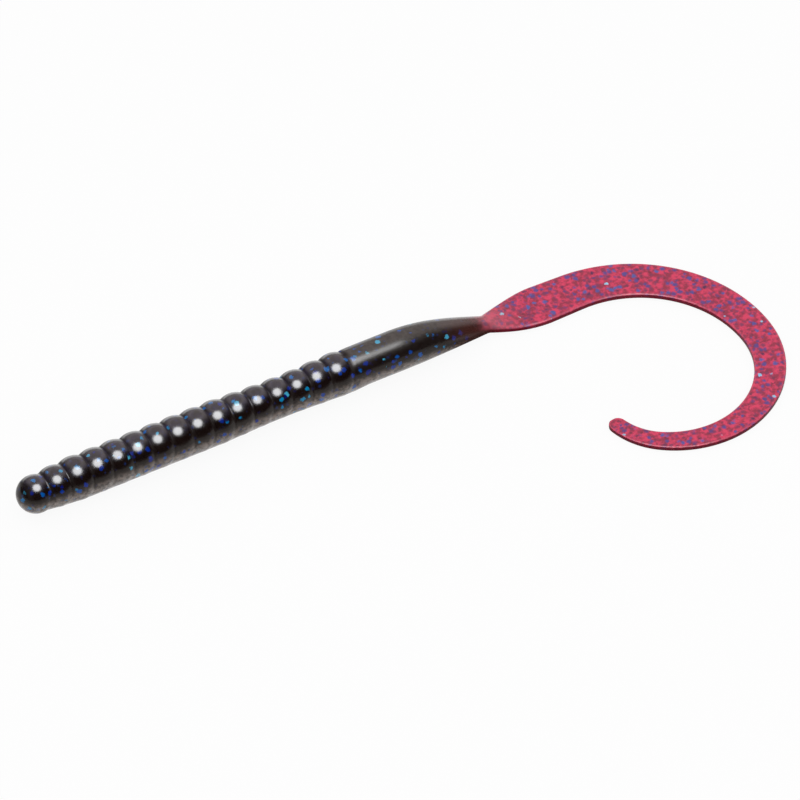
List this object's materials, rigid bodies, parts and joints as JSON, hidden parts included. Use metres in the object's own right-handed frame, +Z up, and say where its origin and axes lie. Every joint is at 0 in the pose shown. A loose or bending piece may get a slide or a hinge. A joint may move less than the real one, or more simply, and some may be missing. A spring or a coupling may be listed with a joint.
{
  "type": "soft plastic worm",
  "caption": "Soft plastic fishing worm with a round nose, ringed body, smooth tapering rear and a flat ribbon tail that curls round in a hook.",
  "frame": {"origin": "on the belly flat, under the middle ring, at the level of the surface that the worm lies on", "axes": "+X from the nose to the tail along the body, +Z up, +Y to the left of the body, away from the side that the tail curls to"},
  "size_m": [0.1429, 0.0504, 0.008],
  "materials": {
    "dark_plastic": "glossy soft plastic, near black, with sparse blue flake",
    "red_plastic": "glossy translucent soft plastic, red, with dense blue flake"
  },
  "bodies": {
    "nose": {"nose_ring": "dark_plastic", "groove_web_01": "dark_plastic"},
    "ring_02": {"ring_02": "dark_plastic", "groove_web_02": "dark_plastic"},
    "ring_03": {"ring_03": "dark_plastic", "groove_web_03": "dark_plastic"},
    "ring_04": {"ring_04": "dark_plastic", "groove_web_04": "dark_plastic"},
    "ring_05": {"ring_05": "dark_plastic", "groove_web_05": "dark_plastic"},
    "ring_06": {"ring_06": "dark_plastic", "groove_web_06": "dark_plastic"},
    "ring_07": {"ring_07": "dark_plastic", "groove_web_07": "dark_plastic"},
    "ring_08": {"ring_08": "dark_plastic", "groove_web_08": "dark_plastic"},
    "ring_09": {"ring_09": "dark_plastic", "groove_web_09": "dark_plastic"},
    "ring_10": {"ring_10": "dark_plastic", "groove_web_10": "dark_plastic"},
    "ring_11": {"ring_11": "dark_plastic", "groove_web_11": "dark_plastic"},
    "ring_12": {"ring_12": "dark_plastic", "groove_web_12": "dark_plastic"},
    "ring_13": {"ring_13": "dark_plastic", "groove_web_13": "dark_plastic"},
    "ring_14": {"ring_14": "dark_plastic", "groove_web_14": "dark_plastic"},
    "ring_15": {"ring_15": "dark_plastic", "groove_web_15": "dark_plastic"},
    "ring_16": {"ring_16": "dark_plastic", "rear_web": "dark_plastic"},
    "shoulder": {"shoulder": "dark_plastic", "shoulder_web": "dark_plastic"},
    "taper": {"taper": "dark_plastic", "taper_web": "dark_plastic"},
    "waist": {"waist": "dark_plastic", "waist_web": "red_plastic"},
    "tail_01": {"tail_01": "red_plastic", "tail_web_01": "red_plastic"},
    "tail_02": {"tail_02": "red_plastic", "tail_web_02": "red_plastic"},
    "tail_03": {"tail_03": "red_plastic", "tail_web_03": "red_plastic"},
    "tail_04": {"tail_04": "red_plastic", "tail_web_04": "red_plastic"},
    "tail_05": {"tail_05": "red_plastic", "tail_web_05": "red_plastic"},
    "tail_06": {"tail_06": "red_plastic", "tail_web_06": "red_plastic"},
    "tail_07": {"tail_07": "red_plastic", "tail_web_07": "red_plastic"},
    "tail_tip": {"tail_tip": "red_plastic"}
  },
  "joints": [
    {"name": "groove_01_sway", "type": "hinge", "parent": "nose", "child": "ring_02", "pos_m": [-0.02665, 0, 0.00385], "axis": [0, 0, 1], "range_deg": [-10, 10], "stiffness_Nm_per_rad": 0.0045, "deforming": ["groove_web_01"]},
    {"name": "groove_02_lift", "type": "hinge", "parent": "ring_02", "child": "ring_03", "pos_m": [-0.02255, 0, 0.00385], "axis": [0, -1, 0], "range_deg": [-10, 10], "stiffness_Nm_per_rad": 0.0045, "deforming": ["groove_web_02"]},
    {"name": "groove_03_sway", "type": "hinge", "parent": "ring_03", "child": "ring_04", "pos_m": [-0.01845, 0, 0.00385], "axis": [0, 0, 1], "range_deg": [-10, 10], "stiffness_Nm_per_rad": 0.0045, "deforming": ["groove_web_03"]},
    {"name": "groove_04_lift", "type": "hinge", "parent": "ring_04", "child": "ring_05", "pos_m": [-0.01435, 0, 0.00385], "axis": [0, -1, 0], "range_deg": [-10, 10], "stiffness_Nm_per_rad": 0.0045, "deforming": ["groove_web_04"]},
    {"name": "groove_05_sway", "type": "hinge", "parent": "ring_05", "child": "ring_06", "pos_m": [-0.01025, 0, 0.00385], "axis": [0, 0, 1], "range_deg": [-10, 10], "stiffness_Nm_per_rad": 0.0045, "deforming": ["groove_web_05"]},
    {"name": "groove_06_lift", "type": "hinge", "parent": "ring_06", "child": "ring_07", "pos_m": [-0.00615, 0, 0.00385], "axis": [0, -1, 0], "range_deg": [-10, 10], "stiffness_Nm_per_rad": 0.0045, "deforming": ["groove_web_06"]},
    {"name": "groove_07_sway", "type": "hinge", "parent": "ring_07", "child": "ring_08", "pos_m": [-0.00205, 0, 0.00385], "axis": [0, 0, 1], "range_deg": [-10, 10], "stiffness_Nm_per_rad": 0.0045, "deforming": ["groove_web_07"]},
    {"name": "groove_08_lift", "type": "hinge", "parent": "ring_08", "child": "ring_09", "pos_m": [0.00205, 0, 0.00385], "axis": [0, -1, 0], "range_deg": [-10, 10], "stiffness_Nm_per_rad": 0.0045, "deforming": ["groove_web_08"]},
    {"name": "groove_09_sway", "type": "hinge", "parent": "ring_09", "child": "ring_10", "pos_m": [0.00615, 0, 0.00385], "axis": [0, 0, 1], "range_deg": [-10, 10], "stiffness_Nm_per_rad": 0.0045, "deforming": ["groove_web_09"]},
    {"name": "groove_10_lift", "type": "hinge", "parent": "ring_10", "child": "ring_11", "pos_m": [0.01025, 0, 0.00385], "axis": [0, -1, 0], "range_deg": [-10, 10], "stiffness_Nm_per_rad": 0.0045, "deforming": ["groove_web_10"]},
    {"name": "groove_11_sway", "type": "hinge", "parent": "ring_11", "child": "ring_12", "pos_m": [0.01435, 0, 0.00385], "axis": [0, 0, 1], "range_deg": [-10, 10], "stiffness_Nm_per_rad": 0.0045, "deforming": ["groove_web_11"]},
    {"name": "groove_12_lift", "type": "hinge", "parent": "ring_12", "child": "ring_13", "pos_m": [0.01845, 0, 0.00385], "axis": [0, -1, 0], "range_deg": [-10, 10], "stiffness_Nm_per_rad": 0.0045, "deforming": ["groove_web_12"]},
    {"name": "groove_13_sway", "type": "hinge", "parent": "ring_13", "child": "ring_14", "pos_m": [0.02255, 0, 0.00385], "axis": [0, 0, 1], "range_deg": [-10, 10], "stiffness_Nm_per_rad": 0.0045, "deforming": ["groove_web_13"]},
    {"name": "groove_14_lift", "type": "hinge", "parent": "ring_14", "child": "ring_15", "pos_m": [0.02665, 0, 0.00385], "axis": [0, -1, 0], "range_deg": [-10, 10], "stiffness_Nm_per_rad": 0.0045, "deforming": ["groove_web_14"]},
    {"name": "groove_15_sway", "type": "hinge", "parent": "ring_15", "child": "ring_16", "pos_m": [0.03075, 0, 0.00385], "axis": [0, 0, 1], "range_deg": [-10, 10], "stiffness_Nm_per_rad": 0.0045, "deforming": ["groove_web_15"]},
    {"name": "rear_lift", "type": "hinge", "parent": "ring_16", "child": "shoulder", "pos_m": [0.03485, 0, 0.00385], "axis": [0, -1, 0], "range_deg": [-10, 10], "stiffness_Nm_per_rad": 0.0045, "deforming": ["rear_web"]},
    {"name": "shoulder_sway", "type": "hinge", "parent": "shoulder", "child": "taper", "pos_m": [0.04565, 0, 0.00384], "axis": [0, 0, 1], "range_deg": [-10, 10], "stiffness_Nm_per_rad": 0.0045, "deforming": ["shoulder_web"]},
    {"name": "taper_lift", "type": "hinge", "parent": "taper", "child": "waist", "pos_m": [0.05485, 0, 0.00306], "axis": [0, -1, 0], "range_deg": [-12, 12], "stiffness_Nm_per_rad": 0.002, "deforming": ["taper_web"]},
    {"name": "waist_flap", "type": "hinge", "parent": "waist", "child": "tail_01", "pos_m": [0.06405, 0, 0.00135], "axis": [0, -1, 0], "range_deg": [-18, 18], "stiffness_Nm_per_rad": 0.0004, "deforming": ["waist_web"]},
    {"name": "tail_01_flap", "type": "hinge", "parent": "tail_01", "child": "tail_02", "pos_m": [0.07758, 0, 0.00063], "axis": [0, -1, 0], "range_deg": [-20, 20], "stiffness_Nm_per_rad": 0.00003, "deforming": ["tail_web_01"]},
    {"name": "tail_02_flap", "type": "hinge", "parent": "tail_02", "child": "tail_03", "pos_m": [0.09094, -0.00152, 0.00061], "axis": [-0.3435, -0.9391, 0], "range_deg": [-20, 20], "stiffness_Nm_per_rad": 0.00003, "deforming": ["tail_web_02"]},
    {"name": "tail_03_flap", "type": "hinge", "parent": "tail_03", "child": "tail_04", "pos_m": [0.10181, -0.0093, 0.00059], "axis": [-0.7783, -0.6279, 0], "range_deg": [-20, 20], "stiffness_Nm_per_rad": 0.00003, "deforming": ["tail_web_03"]},
    {"name": "tail_04_flap", "type": "hinge", "parent": "tail_04", "child": "tail_05", "pos_m": [0.10711, -0.02157, 0.00057], "axis": [-0.9906, -0.137, 0], "range_deg": [-20, 20], "stiffness_Nm_per_rad": 0.00003, "deforming": ["tail_web_04"]},
    {"name": "tail_05_flap", "type": "hinge", "parent": "tail_05", "child": "tail_06", "pos_m": [0.10466, -0.0346, 0.00056], "axis": [-0.8547, 0.5191, 0], "range_deg": [-20, 20], "stiffness_Nm_per_rad": 0.00003, "deforming": ["tail_web_05"]},
    {"name": "tail_06_flap", "type": "hinge", "parent": "tail_06", "child": "tail_07", "pos_m": [0.0942, -0.04271, 0.00054], "axis": [-0.2893, 0.9572, 0], "range_deg": [-20, 20], "stiffness_Nm_per_rad": 0.00003, "deforming": ["tail_web_06"]},
    {"name": "tail_07_flap", "type": "hinge", "parent": "tail_07", "child": "tail_tip", "pos_m": [0.081, -0.04175, 0.00052], "axis": [0.4242, 0.9056, 0], "range_deg": [-20, 20], "stiffness_Nm_per_rad": 0.00003, "deforming": ["tail_web_07"]}
  ]
}
